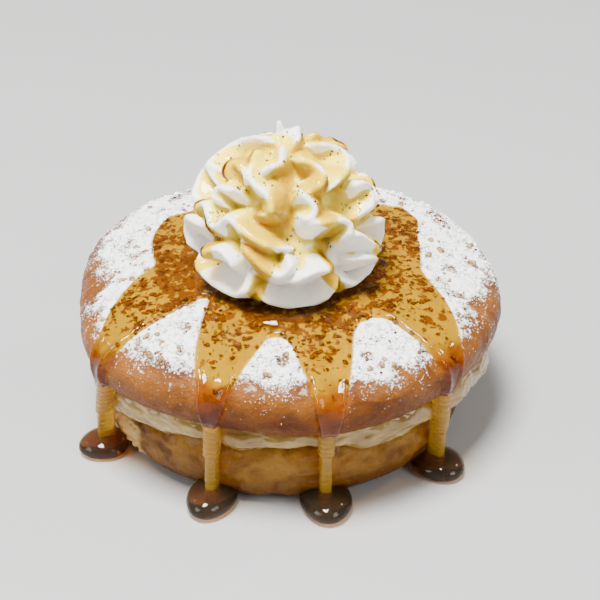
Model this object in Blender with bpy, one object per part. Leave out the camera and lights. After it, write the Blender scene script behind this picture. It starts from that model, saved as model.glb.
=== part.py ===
"""A filled doughnut: a split yeast bun with custard, maple syrup run over it and a rosette of piped cream.

Metres, +Z up. The origin is the middle of the flat base. The front, where the syrup runs down, faces -Y.
Azimuths are in degrees, counted anticlockwise from +X, so that the front is at 270.
"""

import math

import bmesh
import bpy
from mathutils import Vector, noise

# Driving sizes of the split bun
BUN_RADIUS = 0.0500
BUN_WIDEST = 0.0308
CROWN_HEIGHT = 0.0418
UPPER_EDGE = 0.0455
UPPER_CUT = 0.0239
LOWER_RADIUS = 0.0427
LOWER_WIDEST = 0.0089
LOWER_CUT = 0.0150
BASE_RADIUS = 0.0339
GAP = 0.0003

# Driving sizes of the syrup
SYRUP_DEPTH = 0.0014
SYRUP_ROOT = 0.0013
POOL_DEPTH = 0.0004
LEG_HALF_WIDTH = 0.0021

# Driving sizes of the piped cream, whose middle stands a little in front of the bun's
CREAM_MIDDLE = (0.0002, -0.0090)

# Fineness of the faceted solids
BUN_SIDES = 64
CREAM_THINNING = 0.098


def turn(azimuth):
    """The unit vector in plan at an azimuth in radians."""
    return Vector((math.cos(azimuth), math.sin(azimuth), 0.0))


def smooth_step(low, high, value):
    share = min(1.0, max(0.0, (value - low) / (high - low)))
    return share * share * (3.0 - 2.0 * share)


def lumps(azimuth, height, size, seed):
    """Unevenness from -1 to 1 round a turned shape, closed round its full turn."""
    place = turn(azimuth) * (BUN_RADIUS / size)
    return noise.noise(Vector((place.x + seed, place.y, height / size)))


def material(name, colour, roughness):
    """A plain finish with the named colour and roughness."""
    made = bpy.data.materials.new(name)
    made.use_nodes = True
    shader = made.node_tree.nodes["Principled BSDF"]
    shader.inputs["Base Color"].default_value = (*colour, 1.0)
    shader.inputs["Roughness"].default_value = roughness
    shader.inputs["Metallic"].default_value = 0.0
    return made


def skin_over(rings, first_centre=None, last_centre=None):
    """A closed mesh over rings of points, each end shut by a fan to a centre or by one flat face."""
    mesh = bmesh.new()
    made = [[mesh.verts.new(point) for point in ring] for ring in rings]
    sides = len(made[0])
    for low, high in zip(made, made[1:]):
        for side in range(sides):
            after = (side + 1) % sides
            mesh.faces.new((low[side], low[after], high[after], high[side]))
    for ring, centre in ((made[0], first_centre), (made[-1], last_centre)):
        if centre is None:
            mesh.faces.new(ring)
            continue
        tip = mesh.verts.new(centre)
        for side in range(sides):
            mesh.faces.new((ring[side], ring[(side + 1) % sides], tip))
    bmesh.ops.recalc_face_normals(mesh, faces=mesh.faces)
    return mesh


def new_object(name, mesh, finish, smooth_angle=50.0):
    """A named object from a bmesh, smooth apart from its sharp edges."""
    data = bpy.data.meshes.new(name)
    mesh.to_mesh(data)
    mesh.free()
    data.materials.append(finish)
    data.shade_smooth()
    data.set_sharp_from_angle(angle=math.radians(smooth_angle))
    made = bpy.data.objects.new(name, data)
    bpy.context.scene.collection.objects.link(made)
    return made


def join_by_union(target, others, name):
    """Fuses the others into the target by one Boolean union, applied, and removes them."""
    group = bpy.data.collections.new(name)
    for other in others:
        group.objects.link(other)
    union = target.modifiers.new(name, "BOOLEAN")
    union.operation = "UNION"
    union.operand_type = "COLLECTION"
    union.collection = group
    union.solver = "EXACT"
    bpy.context.view_layer.update()
    graph = bpy.context.evaluated_depsgraph_get()
    fused = bpy.data.meshes.new_from_object(target.evaluated_get(graph))
    target.modifiers.clear()
    target.data = fused
    for other in others:
        bpy.data.objects.remove(other)
    bpy.data.collections.remove(group)


# The two cuts that split the bun


def bump(azimuth, middle, width):
    """A rounded bump from 0 to 1 centred on one azimuth; its middle and width are in degrees."""
    apart = (math.degrees(azimuth) - middle + 180.0) % 360.0 - 180.0
    return math.exp(-((apart / width) ** 2))


def lower_cut(azimuth, radius):
    """Height of the lower bun's cut face, which dips near the rim where custard spills at the sides."""
    dip = 0.0012 - 0.0042 * bump(azimuth, 203.0, 26.0) - 0.0032 * bump(azimuth, 352.0, 38.0)
    dip += 0.0007 * math.sin(3.0 * azimuth + 0.6)
    return LOWER_CUT + dip * smooth_step(0.70, 0.97, radius / LOWER_RADIUS)


def upper_cut(azimuth, radius):
    """Height of the upper bun's cut face, slightly wavy at the rim."""
    wave = 0.0004 * math.sin(2.0 * azimuth + 1.1) + 0.0003 * math.sin(5.0 * azimuth)
    return UPPER_CUT + wave * smooth_step(0.70, 0.97, radius / BUN_RADIUS)


# The lower bun


def lower_out_of_round(azimuth):
    """How the lower bun departs from a circle in plan."""
    return 1.0 - 0.004 * math.cos(azimuth) + 0.006 * math.cos(2.0 * azimuth - 0.6)


def lower_side(azimuth, share):
    """A point on the lower bun's side: share runs from 0 at the base to 1 at the cut."""
    angle = math.radians(-90.0 + 150.0 * share)
    rounding = 0.75 if angle < 0.0 else 0.55
    radius = BASE_RADIUS + (LOWER_RADIUS - BASE_RADIUS) * max(math.cos(angle), 0.0) ** rounding
    if angle < 0.0:
        height = LOWER_WIDEST * (1.0 + math.sin(angle))
    else:
        top = lower_cut(azimuth, LOWER_RADIUS) - GAP / 2.0
        height = LOWER_WIDEST + (top - LOWER_WIDEST) * math.sin(angle) / math.sin(math.radians(60.0))
    swell = 0.0006 * lumps(azimuth, height, 0.011, 3.0) * math.sin(math.pi * share)
    return turn(azimuth) * ((radius + swell) * lower_out_of_round(azimuth)) + Vector((0, 0, height))


def lower_bun(finish):
    azimuths = [2.0 * math.pi * side / BUN_SIDES for side in range(BUN_SIDES)]
    steps = 8
    rings = [[lower_side(a, step / steps) for a in azimuths] for step in range(steps + 1)]
    rim = rings[-1]
    for share in (0.92, 0.74):
        ring = []
        for azimuth, edge in zip(azimuths, rim):
            inner = Vector((edge.x * share, edge.y * share, 0.0))
            inner.z = lower_cut(azimuth, inner.length) - GAP / 2.0
            ring.append(inner)
        rings.append(ring)
    centre = Vector((0, 0, LOWER_CUT - GAP / 2.0))
    return new_object("bottom_bun", skin_over(rings, None, centre), finish)


# The custard between the buns


def custard_rim(azimuth):
    """How far the custard reaches: flush in front, spilling at the left, pressed out at the right."""
    reach = 0.0438 + 0.0022 * bump(azimuth, 207.0, 22.0)
    pressed_out = bump(azimuth, 352.0, 34.0)
    ragged = abs(math.sin(9.5 * azimuth + 0.8)) - 0.5
    return reach + pressed_out * (0.0036 + 0.0010 * ragged)


def custard_side(azimuth, share):
    """A point on the custard's bulging edge: share runs from 0 at the lower cut to 1 at the upper."""
    reach = custard_rim(azimuth)
    low = lower_cut(azimuth, LOWER_RADIUS) + GAP / 2.0
    high = upper_cut(azimuth, BUN_RADIUS) - GAP / 2.0
    height = low + (high - low) * share
    bulge = 0.0020 * (math.sin(math.pi * (0.12 + 0.80 * share)) - 0.6)
    fold = 0.0007 * lumps(azimuth, height, 0.006, 11.0) * math.sin(math.pi * share)
    return turn(azimuth) * (reach + bulge + fold) + Vector((0, 0, height))


def custard(finish):
    azimuths = [2.0 * math.pi * side / BUN_SIDES for side in range(BUN_SIDES)]
    steps = 6
    side = [[custard_side(a, step / steps) for a in azimuths] for step in range(steps + 1)]
    under = []
    for share in (0.74, 0.92):
        radius = LOWER_RADIUS * share
        heights = [lower_cut(a, radius) + GAP / 2.0 for a in azimuths]
        under.append([turn(a) * radius + Vector((0, 0, height)) for a, height in zip(azimuths, heights)])
    radius = BUN_RADIUS * 0.70
    over = [[turn(a) * radius + Vector((0, 0, UPPER_CUT - GAP / 2.0)) for a in azimuths]]
    first = Vector((0, 0, LOWER_CUT + GAP / 2.0))
    last = Vector((0, 0, UPPER_CUT - GAP / 2.0))
    return new_object("custard", skin_over(under + side + over, first, last), finish)


# The upper bun


def upper_out_of_round(azimuth):
    """How the upper bun departs from a circle in plan."""
    return (
        1.0
        + 0.013 * math.cos(azimuth)
        - 0.012 * math.cos(2.0 * azimuth)
        + 0.004 * math.cos(3.0 * azimuth)
        - 0.014 * math.cos(4.0 * azimuth)
        + 0.012 * math.cos(5.0 * azimuth)
        - 0.007 * math.sin(6.0 * azimuth)
    )


def crust_profile():
    """The crust's line from the crown's middle to its lower edge: distance along it, radius and height."""
    line = [(0.0, 0.0, CROWN_HEIGHT)]
    for step in range(1, 121):
        angle = math.radians(90.0 * (1.0 - step / 80.0))
        if angle >= 0.0:
            radius = BUN_RADIUS * math.cos(angle) ** 0.745
            height = BUN_WIDEST + (CROWN_HEIGHT - BUN_WIDEST) * math.sin(angle) ** 0.8575
        else:
            share = math.cos(2.0 * angle)
            radius = UPPER_EDGE + (BUN_RADIUS - UPPER_EDGE) * max(share, 0.0) ** 0.8
            height = BUN_WIDEST + (BUN_WIDEST - UPPER_CUT) * math.sin(2.0 * angle)
        distance, before, above = line[-1]
        line.append((distance + math.hypot(radius - before, height - above), radius, height))
    return line


CRUST = crust_profile()
CRUST_LENGTH = CRUST[-1][0]


def crust_line(distance):
    """Radius and height of the crust at a distance along it from the crown's middle."""
    distance = min(max(distance, 0.0), CRUST_LENGTH)
    for (near, *first), (far, *second) in zip(CRUST, CRUST[1:]):
        if distance <= far:
            share = (distance - near) / (far - near)
            return [low + (high - low) * share for low, high in zip(first, second)]


def crust_point(azimuth, distance):
    """A point on the upper bun's crust."""
    radius, height = crust_line(distance)
    along = distance / CRUST_LENGTH
    low = smooth_step(0.8, 1.0, along)
    height += (upper_cut(azimuth, BUN_RADIUS) - UPPER_CUT + GAP / 2.0) * low
    height += 0.0005 * lumps(azimuth, height, 0.016, 7.0) * smooth_step(0.5, 0.7, along) * (1.0 - low)
    out_of_round = 1.0 + (upper_out_of_round(azimuth) - 1.0) * smooth_step(0.0, 0.6, along)
    return turn(azimuth) * (radius * out_of_round) + Vector((0, 0, height))


def upper_bun(finish):
    azimuths = [2.0 * math.pi * side / BUN_SIDES for side in range(BUN_SIDES)]
    steps = 16
    distances = [CRUST_LENGTH * step / steps for step in range(steps, 0, -1)]
    rings = [[crust_point(a, distance) for a in azimuths] for distance in distances]
    inner = []
    for azimuth, point in zip(azimuths, rings[0]):
        place = Vector((point.x * 0.76, point.y * 0.76, 0.0))
        place.z = upper_cut(azimuth, place.length) + GAP / 2.0
        inner.append(place)
    rings.insert(0, inner)
    under = Vector((0, 0, UPPER_CUT + GAP / 2.0))
    return new_object("top_bun", skin_over(rings, under, Vector((0, 0, CROWN_HEIGHT))), finish)


# The syrup: a pool round the cream, two lobes behind and four runs over the front edge

# Each arm by stations: millimetres along the crust, then the azimuths of its two edges there
ARMS = {
    "run_left": (
        (27, 188, 228), (34, 194, 226), (41, 204, 224), (48, 213.5, 223), (53, 215, 221.5), (58, 215.5, 220.5),
    ),
    "run_front_left": ((28, 234, 268), (36, 240, 264), (43, 244, 260), (50, 248, 257), (58, 249, 254.2)),
    "run_front_right": (
        (30, 269, 300), (38, 273.5, 293), (46, 276.5, 288), (51, 277.5, 285.5), (58, 278.8, 284),
    ),
    "run_right": (
        (28, 304, 352), (36, 310.5, 339), (43, 312, 330.5), (50, 312.5, 322.5), (58, 313.7, 318.9),
    ),
    "lobe_back_right": ((25, -16, 44), (30.5, -8, 44), (33, 17, 44), (36.5, 28, 40)),
    "lobe_back_left": ((25, 142, 200), (30.5, 143, 194), (33, 147, 166)),
}

# Each run's strand below the crust: azimuth and outer radius at the crust's edge, then at its puddle
STRANDS = {
    "run_left": (218.0, 0.0508, 206.0, 0.0478),
    "run_front_left": (251.6, 0.0490, 248.6, 0.0452),
    "run_front_right": (281.4, 0.0494, 282.7, 0.0442),
    "run_right": (316.3, 0.0500, 321.5, 0.0464),
}

# Half-width, half-length outwards and height of the bead of syrup at each run's foot
PUDDLES = {
    "run_left": (0.0054, 0.0059, 0.0048),
    "run_front_left": (0.0055, 0.0069, 0.0052),
    "run_front_right": (0.0058, 0.0074, 0.0052),
    "run_right": (0.0057, 0.0065, 0.0048),
}

# How far the pool reaches round the cream: azimuth and millimetres along the crust
POOL_EDGE = (
    (0, 31.5), (28, 28), (60, 24), (95, 22), (122, 24), (150, 29), (180, 31.5), (208, 31),
    (230, 25.8), (248, 32), (268, 34.6), (285, 35), (302, 32.8), (320, 33), (340, 32), (360, 31.5),
)


def crust_frame(azimuth, distance):
    """A point on the crust, and the outward normal there."""
    along = crust_point(azimuth, distance + 0.0012) - crust_point(azimuth, distance - 0.0012)
    across = crust_point(azimuth + 0.02, distance) - crust_point(azimuth - 0.02, distance)
    return crust_point(azimuth, distance), along.cross(across).normalized()


def arm_edges(name, millimetres):
    """Azimuths of an arm's two edges at a distance along the crust, in degrees."""
    stations = ARMS[name]
    for (near, *first), (far, *second) in zip(stations, stations[1:]):
        if millimetres <= far:
            share = (millimetres - near) / (far - near)
            return [low + (high - low) * share for low, high in zip(first, second)]
    return stations[-1][1:]


def arm(name, finish):
    """One arm of syrup lying along the crust, from the pool to its rounded end."""
    corners, steps = 10, 10
    start, end = ARMS[name][0][0], ARMS[name][-1][0]
    rings = []
    for step in range(steps + 1):
        distance = start + (end - start) * step / steps
        first, second = [math.radians(edge) for edge in arm_edges(name, distance)]
        depth = SYRUP_DEPTH * (0.75 if step == steps else 1.0)
        ring = []
        for corner in range(corners):
            angle = 2.0 * math.pi * (corner + 0.5) / corners
            azimuth = (first + second) / 2.0 + (second - first) / 2.0 * math.cos(angle)
            place, normal = crust_frame(azimuth, distance / 1000.0)
            lift = math.sin(angle)
            lift = depth * lift**0.7 if lift > 0.0 else -SYRUP_ROOT * abs(lift) ** 0.7
            ring.append(place + normal * lift)
        rings.append(ring)
    middles = [sum(ring, Vector()) / corners for ring in (rings[0], rings[-1])]
    return new_object(name, skin_over(rings, *middles), finish)


def pool_reach(azimuth):
    """How far along the crust the pool reaches."""
    degrees = math.degrees(azimuth) % 360.0
    for (low, near), (high, far) in zip(POOL_EDGE, POOL_EDGE[1:]):
        if degrees <= high:
            share = smooth_step(low, high, degrees)
            return (near + (far - near) * share) / 1000.0


def pool(finish):
    """The syrup that the cream stands in, flat on top, sloping to the crust at its edge."""
    sides = 60
    azimuths = [2.0 * math.pi * side / sides for side in range(sides)]
    level = CROWN_HEIGHT + POOL_DEPTH
    under, edge, brim, flat = [], [], [], []
    for azimuth in azimuths:
        reach = pool_reach(azimuth)
        place, normal = crust_frame(azimuth, reach * 0.80)
        under.append(place - normal * SYRUP_ROOT)
        place, normal = crust_frame(azimuth, reach)
        edge.append(place - normal * 0.0003)
        place, normal = crust_frame(azimuth, reach - 0.0011)
        brim.append(place + normal * 0.0010)
        inner = turn(azimuth) * (crust_line(reach)[0] - 0.0035)
        flat.append(Vector((inner.x, inner.y, level)))
    centres = Vector((0, 0, CROWN_HEIGHT - SYRUP_ROOT)), Vector((0, 0, level))
    return new_object("pool", skin_over([under, edge, brim, flat], *centres), finish)


def strand_place(name, height):
    """Azimuth and outer radius of a run's strand at one height."""
    top_azimuth, top, foot_azimuth, foot = STRANDS[name]
    share = smooth_step(0.002, BUN_WIDEST, height)
    return math.radians(foot_azimuth + (top_azimuth - foot_azimuth) * share), foot + (top - foot) * share


def strand(name, low, high, inner, finish):
    """The stretch of a run that clings to one layer's side, between two heights."""
    corners, steps = 10, 3
    rings = []
    for step in range(steps + 1):
        height = low + (high - low) * step / steps
        azimuth, front = strand_place(name, height)
        outward, sideways = turn(azimuth), turn(azimuth + math.pi / 2.0)
        ring = []
        for corner in range(corners):
            angle = 2.0 * math.pi * corner / corners
            near = math.copysign(abs(math.cos(angle)) ** 0.6, math.cos(angle))
            aside = math.copysign(abs(math.sin(angle)) ** 0.8, math.sin(angle))
            reach = (front + inner) / 2.0 + (front - inner) / 2.0 * near
            ring.append(outward * reach + sideways * (LEG_HALF_WIDTH * aside) + Vector((0, 0, height)))
        rings.append(ring)
    return new_object(name, skin_over(rings), finish)


def puddle(name, finish):
    """A bead of syrup at a run's foot, fat at its edge."""
    half_width, half_length, rise = PUDDLES[name]
    azimuth, front = strand_place(name, 0.0)
    outward, sideways = turn(azimuth), turn(azimuth + math.pi / 2.0)
    middle = outward * (front - 0.0014)
    corners, steps = 18, 5
    widest = 0.36
    rings = []
    for step in range(steps):
        angle = math.radians(-40.0 + 130.0 * step / steps)
        if angle < 0.0:
            height = rise * widest * (1.0 - math.sin(angle) / math.sin(math.radians(-40.0)))
        else:
            height = rise * (widest + (1.0 - widest) * math.sin(angle))
        ring = []
        for corner in range(corners):
            around = 2.0 * math.pi * corner / corners
            place = outward * (half_length * math.cos(angle) * math.cos(around))
            place += sideways * (half_width * math.cos(angle) * math.sin(around))
            ring.append(middle + place + Vector((0, 0, height)))
        rings.append(ring)
    return new_object("puddle_" + name, skin_over(rings, None, middle + Vector((0, 0, rise))), finish)


# The piped cream

# The mound that the lips reach: millimetres above the cream's foot, and radius
MOUND = (
    (-3, 15.0), (0, 16.5), (4, 20.0), (8, 21.6), (12, 21.3), (18, 19.8),
    (22, 18.2), (26, 15.8), (29, 12.5), (31, 9.0), (33, 4.5), (36, 0.4),
)
# The point drawn off at the top: height and radius
SPIKE = ((27.0, 3.4), (29.5, 2.4), (31.4, 1.7), (33.0, 1.25), (34.3, 1.05), (35.4, 0.85), (36.3, 0.5))
# Edges of the lips, from the top down: degrees round to the right from the front, and height
SIDE_LIPS = (
    ((-78, 23.8), (-90, 25.4), (-104, 27.6), (-110, 30.2), (-96, 32.0), (-60, 33.2), (-24, 33.2)),
    ((14, 32.4), (44, 33.4), (84, 34.4), (112, 34.0), (128, 32.4)),
    ((48, 32.6), (70, 31.9), (88, 30.4), (88, 28.4), (66, 27.4), (46, 26.0)),
    ((-76, 17.0), (-88, 19.6), (-98, 23.0), (-94, 25.4), (-80, 26.4)),
    ((64, 25.0), (76, 23.4), (84, 21.2), (76, 19.2), (62, 18.4)),
    ((86, 19.0), (90, 17.0), (98, 17.6), (108, 20.0)),
    ((-74, 14.2), (-84, 14.0), (-94, 11.0), (-94, 7.0), (-82, 4.0)),
    ((72, 15.0), (84, 13.4), (94, 10.0), (92, 6.0), (80, 3.4)),
    ((-84, 2.0), (-98, 1.0), (-112, 2.0), (-104, 5.0)),
)
# These lips stand at the front and again, turned half round, at the back
FRONT_LIPS = (
    ((-6, 33.6), (-2, 32.2), (-4, 30.8), (-17, 30.2), (-28, 28.8)),
    ((-52, 32.4), (-40, 30.9), (-35, 29.0), (-38, 27.4)),
    ((6, 31.4), (26, 31.0), (38, 30.0), (40, 28.8), (32, 27.4), (20, 26.4)),
    (
        (-44, 26.0), (-57, 27.6), (-58, 29.4), (-38, 29.0), (-26, 27.8), (-11, 26.2), (-9, 23.4), (-20, 22.6),
    ),
    ((-48, 22.2), (-57, 23.4), (-55, 25.2), (-43, 25.8), (-40, 27.2)),
    ((14, 28.6), (15, 26.6), (21, 24.8), (22, 23.2), (16, 22.2), (11, 23.4)),
    ((10, 22.3), (20, 21.2), (38, 20.4), (45, 19.0), (44, 17.0), (38, 15.6)),
    ((-72, 15.4), (-70, 18.6), (-62, 20.8), (-48, 18.0), (-38, 20.8), (-24, 19.0), (-8, 17.0), (8, 16.2)),
    ((-30, 17.6), (-20, 14.8), (-9, 11.8), (-2, 10.6), (4, 12.6), (2, 15.2)),
    ((44, 17.6), (54, 14.7), (65, 10.5), (70, 7.5)),
    ((47, 10.4), (58, 9.2), (68, 6.4), (64, 3.6), (54, 2.4), (46, 4.2)),
    ((-56, 9.4), (-48, 12.6), (-40, 13.8), (-32, 12.4), (-26, 9.4)),
    ((-2, 8.4), (14, 10.6), (22, 11.2), (32, 10.4)),
    ((-70, 7.6), (-60, 4.6), (-38, 2.0), (-26, 4.4), (-20, 7.6)),
    ((-18, 6.0), (-9, 2.6), (4, 0.4), (18, 0.0), (29, 1.6), (38, 5.0)),
)
# Millimetres that a lip's edge stands out and its root lies in, and its thickness at both
LIP_REACH = 0.4
LIP_DEPTH = 6.0
LIP_EDGE = 1.8
LIP_ROOT = 7.4
CREAM_BASE = CROWN_HEIGHT + POOL_DEPTH + GAP


def mound_radius(height):
    """The mound's radius at a height, both in millimetres."""
    for (low, near), (high, far) in zip(MOUND, MOUND[1:]):
        if height <= high:
            return near + (far - near) * (height - low) / (high - low)


def smooth_path(points, steps):
    """A smooth path through points, each a pair of numbers."""
    first, last = Vector(points[0]), Vector(points[-1])
    ends = [2.0 * first - Vector(points[1])] + [Vector(point) for point in points]
    ends.append(2.0 * last - Vector(points[-2]))
    path = []
    for before, start, end, after in zip(ends, ends[1:], ends[2:], ends[3:]):
        for step in range(steps):
            share = step / steps
            bend = 2.0 * before - 5.0 * start + 4.0 * end - after
            twist = 3.0 * (start - end) + after - before
            path.append(start + 0.5 * share * (end - before + share * (bend + share * twist)))
    return path + [last]


def lip_rings(edge, turned=0.0):
    """Rings along one lip: a wedge, thin at its edge and thick where it grows out of the mound."""
    corners = 14
    spots = []
    for azimuth, height in smooth_path(edge, 7):
        outward = turn(math.radians(270.0 + azimuth + turned))
        spots.append(outward * (mound_radius(height) + LIP_REACH) + Vector((0, 0, height)))
    last = len(spots) - 1
    rings = []
    for number, spot in enumerate(spots):
        along = (spots[min(number + 1, last)] - spots[max(number - 1, 0)]).normalized()
        across = Vector((spot.x, spot.y, 0.0))
        inward = -across.normalized() * min(LIP_DEPTH, 0.8 * across.length)
        inward.z = -3.2 * smooth_step(-2.0, 20.0, spot.z)
        inward -= along * inward.dot(along)
        side = along.cross(inward).normalized()
        taper = min(1.0, 0.25 + min(number, last - number) / (0.22 * last))
        spot = spot + inward * (0.6 * (1.0 - taper))
        ring = []
        for corner in range(corners):
            angle = 2.0 * math.pi * corner / corners
            middle, thickness = (spot, LIP_EDGE) if math.cos(angle) > 0.0 else (spot + inward, LIP_ROOT)
            around = side * math.sin(angle) - inward.normalized() * math.cos(angle)
            ring.append(middle + around * (thickness / 2.0 * taper))
        rings.append(ring)
    return rings


def core_rings():
    """Rings up the solid middle that the lips grow out of."""
    rings = []
    for step in range(37):
        height = -2.0 + 34.0 * step / 36
        ring = []
        for corner in range(72):
            outward = turn(2.0 * math.pi * corner / 72)
            unevenness = noise.noise(outward * 2.6 + Vector((0, 0, height * 0.16)))
            radius = max(0.5, mound_radius(height) - 6.0 + 2.0 * unevenness)
            ring.append(outward * radius + Vector((0, 0, height)))
        rings.append(ring)
    return rings


def spike_rings():
    """Rings up the point at the top, which leans a little to the left."""
    rings = []
    for height, radius in SPIKE:
        middle = Vector((-0.13 * max(0.0, height - 29.0), 0, height))
        rings.append([middle + turn(2.0 * math.pi * corner / 24) * radius for corner in range(24)])
    return rings


def piped_cream(finish):
    """Core, lips and point under one skin, cut flat at the foot. The back leans down a little."""
    lips = [lip_rings(edge) for edge in SIDE_LIPS + FRONT_LIPS]
    lips += [lip_rings(edge, 174.0) for edge in FRONT_LIPS]
    whole = bmesh.new()
    for rings in [core_rings(), spike_rings()] + lips:
        mesh = skin_over(rings)
        data = bpy.data.meshes.new("cream")
        mesh.to_mesh(data)
        mesh.free()
        whole.from_mesh(data)
        bpy.data.meshes.remove(data)
    for vert in whole.verts:
        back = max(0.0, vert.co.y + 1.0)
        vert.co.z -= 0.27 * back * back / (back + 2.0) * min(1.0, max(0.0, vert.co.z / 30.0))
        vert.co = vert.co / 1000.0 + Vector((*CREAM_MIDDLE, CREAM_BASE))
    rough = new_object("whipped_cream", whole, finish)
    skin = rough.modifiers.new("one skin", "REMESH")
    skin.mode = "VOXEL"
    skin.voxel_size = 0.0006
    soft = rough.modifiers.new("soft edges", "SMOOTH")
    soft.factor = 0.5
    soft.iterations = 4
    thin = rough.modifiers.new("fewer faces", "DECIMATE")
    thin.ratio = CREAM_THINNING
    bpy.context.view_layer.update()
    graph = bpy.context.evaluated_depsgraph_get()
    data = bpy.data.meshes.new_from_object(rough.evaluated_get(graph))
    bpy.data.objects.remove(rough)
    mesh = bmesh.new()
    mesh.from_mesh(data)
    bpy.data.meshes.remove(data)
    everything = mesh.verts[:] + mesh.edges[:] + mesh.faces[:]
    foot = Vector((0, 0, CREAM_BASE))
    down = Vector((0, 0, -1))
    bmesh.ops.bisect_plane(
        mesh, geom=everything, dist=1e-5, plane_co=foot, plane_no=down, clear_outer=True
    )
    bmesh.ops.holes_fill(mesh, edges=[edge for edge in mesh.edges if edge.is_boundary])
    bmesh.ops.triangulate(mesh, faces=mesh.faces)
    return new_object("whipped_cream", mesh, finish)


# Putting it together


def between_cuts(name):
    """The lowest and highest that a strand may reach on the custard, clear of both buns."""
    azimuth, front = strand_place(name, LOWER_CUT)
    width = LEG_HALF_WIDTH / front
    low = max(lower_cut(azimuth + aside, LOWER_RADIUS) for aside in (-width, 0.0, width))
    azimuth, _ = strand_place(name, UPPER_CUT)
    high = min(upper_cut(azimuth + aside, BUN_RADIUS) for aside in (-width, 0.0, width))
    return low + GAP / 2.0, high - GAP / 2.0


def main():
    for old in list(bpy.data.objects):
        bpy.data.objects.remove(old)
    crust = material("crust", (0.45, 0.19, 0.06), 0.45)
    dough = material("dough", (0.60, 0.36, 0.14), 0.5)
    filling = material("custard", (0.84, 0.72, 0.38), 0.35)
    cream = material("cream", (0.93, 0.92, 0.88), 0.5)

    top = upper_bun(crust)
    poured = [pool(crust)] + [arm(name, crust) for name in ARMS]
    for name in STRANDS:
        poured.append(strand(name, between_cuts(name)[1] + 2.0 * GAP, BUN_WIDEST, 0.0435, crust))
    join_by_union(top, poured, "syrup on the crust")

    middle = custard(filling)
    strands = [strand(name, *between_cuts(name), 0.0431, filling) for name in STRANDS]
    join_by_union(middle, strands, "syrup on the custard")

    bottom = lower_bun(dough)
    feet = [puddle(name, dough) for name in STRANDS]
    feet += [strand(name, 0.0006, between_cuts(name)[0] - 3.0 * GAP, 0.037, dough) for name in STRANDS]
    join_by_union(bottom, feet, "syrup at the foot")

    piped_cream(cream)


main()
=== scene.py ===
"""A split bun filled with custard, under sugar, maple syrup, cinnamon and a rosette of whipped cream."""

import math
import random
from bisect import bisect_right

import bmesh
import bpy
import numpy as np
from mathutils import Euler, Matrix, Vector, noise


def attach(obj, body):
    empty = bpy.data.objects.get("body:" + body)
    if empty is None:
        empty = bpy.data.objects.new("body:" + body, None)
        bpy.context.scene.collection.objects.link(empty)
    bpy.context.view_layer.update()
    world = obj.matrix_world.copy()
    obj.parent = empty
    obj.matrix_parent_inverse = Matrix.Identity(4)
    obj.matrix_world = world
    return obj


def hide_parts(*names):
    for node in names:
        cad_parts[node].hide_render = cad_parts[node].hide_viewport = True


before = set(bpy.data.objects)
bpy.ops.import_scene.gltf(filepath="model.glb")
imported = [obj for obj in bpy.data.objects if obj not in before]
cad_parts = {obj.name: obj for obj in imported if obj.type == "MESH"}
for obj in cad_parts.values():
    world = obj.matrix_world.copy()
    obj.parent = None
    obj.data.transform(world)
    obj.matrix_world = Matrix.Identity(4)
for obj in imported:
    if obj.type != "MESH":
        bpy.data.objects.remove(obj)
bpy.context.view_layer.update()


# The view, the table top and the light
# A long lens looks down on the doughnut from straight in front. It stands on a plain pale top under a soft
# lamp, with a weaker one on each side, and two small ones behind that glint in the syrup.

LENS = 98.94
SENSOR = 36.0
LOOKING_DOWN = 31.7395
CAMERA_PLACE = (0.0037164, -0.328735, 0.231566)


def stand(name, data):
    """A new object in the scene."""
    made = bpy.data.objects.new(name, data)
    bpy.context.scene.collection.objects.link(made)
    return made


camera_data = bpy.data.cameras.new("camera")
camera_data.lens = LENS
camera_data.sensor_width = SENSOR
camera_data.clip_start = 0.01
camera = stand("camera", camera_data)
camera.location = CAMERA_PLACE
camera.rotation_euler = (math.radians(90.0 - LOOKING_DOWN), 0.0, 0.0)
bpy.context.scene.camera = camera


def fill(made, inputs):
    """Gives each named input of a node a value, or joins it to another output. A colour is three values."""
    for name, given in inputs.items():
        socket = made.inputs[name]
        if isinstance(given, bpy.types.NodeSocket):
            made.id_data.links.new(given, socket)
        else:
            socket.default_value = (*given, 1.0) if socket.type == "RGBA" else given


def node(near, kind, inputs, **settings):
    """A shader node in the tree of another node or socket, with its settings made and its inputs filled."""
    made = near.id_data.nodes.new(kind)
    for name, setting in settings.items():
        setattr(made, name, setting)
    fill(made, inputs)
    return made


def finish_of(name):
    """A new material with its main shader and the places on the piece."""
    made = bpy.data.materials.new(name)
    made.use_nodes = True
    shader = made.node_tree.nodes["Principled BSDF"]
    return made, shader, node(shader, "ShaderNodeTexCoord", {}).outputs["Object"]


def noise_of(place, scale, detail=3.0, roughness=0.55, distortion=0.0):
    """A cloudy mask over the piece."""
    wanted = dict(Vector=place, Scale=scale, Detail=detail, Roughness=roughness, Distortion=distortion)
    return node(place, "ShaderNodeTexNoise", wanted).outputs[0]


def blend_of(share, first, second):
    """A colour between two others."""
    return node(share, "ShaderNodeMix", {0: share, 6: first, 7: second}, data_type="RGBA").outputs[2]


def data_of(name, mesh):
    """A mesh that takes over what a bmesh holds."""
    data = bpy.data.meshes.new(name)
    mesh.to_mesh(data)
    mesh.free()
    return data


def smooth_object(name, mesh, finish):
    """A smooth object with its finish, from a bmesh or a mesh."""
    data = data_of(name, mesh) if isinstance(mesh, bmesh.types.BMesh) else mesh
    data.materials.append(finish)
    data.shade_smooth()
    return stand(name, data)


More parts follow.
